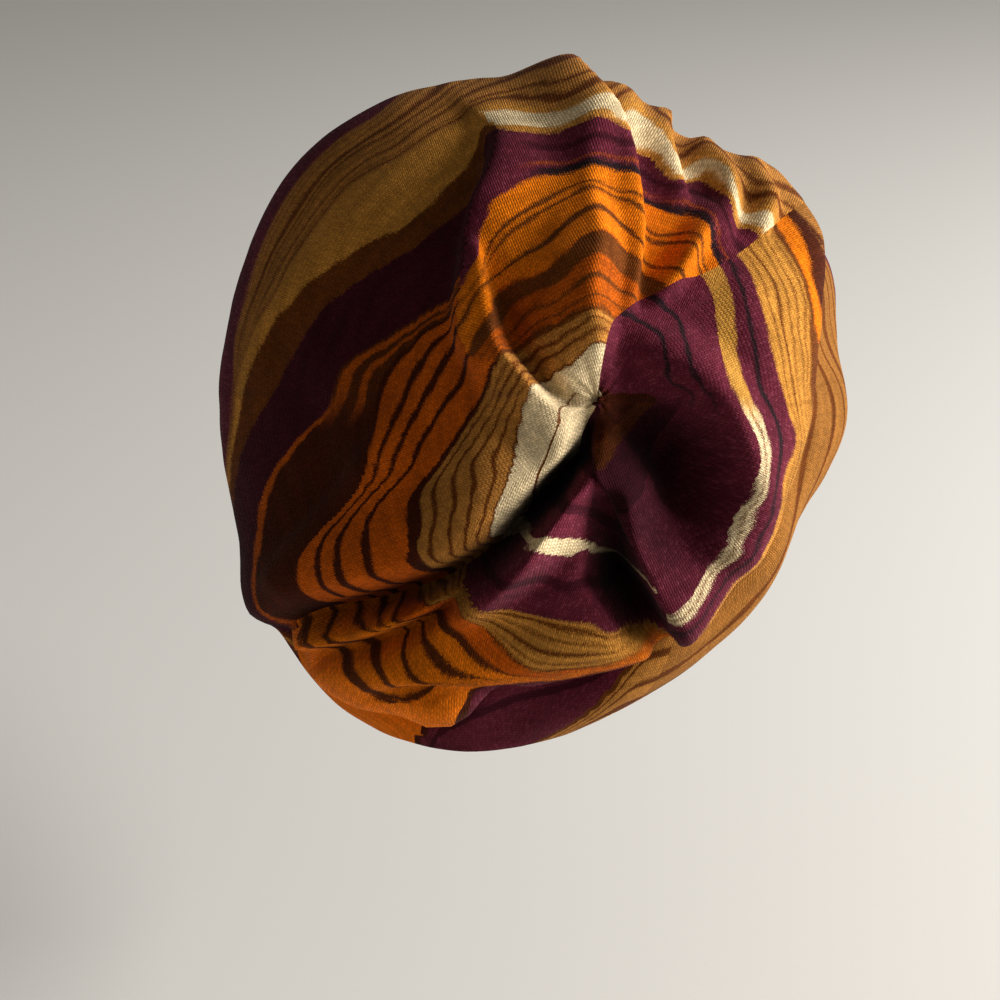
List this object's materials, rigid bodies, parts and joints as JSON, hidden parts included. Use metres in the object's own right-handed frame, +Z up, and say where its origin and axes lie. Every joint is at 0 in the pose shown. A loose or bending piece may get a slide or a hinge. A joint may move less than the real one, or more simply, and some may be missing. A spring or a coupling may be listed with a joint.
{
  "type": "slouchy beanie",
  "caption": "Slouchy knitted beanie: a tube of striped jersey gathered to a point at the back of a full folded crown, open at the rim for a head.",
  "frame": {"origin": "middle of the rim opening, where the hat sits on a head", "axes": "+Z up the head, +Y the way the wearer faces, +X the wearer's right; the gather is at the back, towards -Y"},
  "size_m": [0.2196, 0.2101, 0.2109],
  "materials": {
    "jersey": "matt striped jersey with a soft nap"
  },
  "bodies": {
    "root": {"crown": "jersey"}
  },
  "joints": []
}
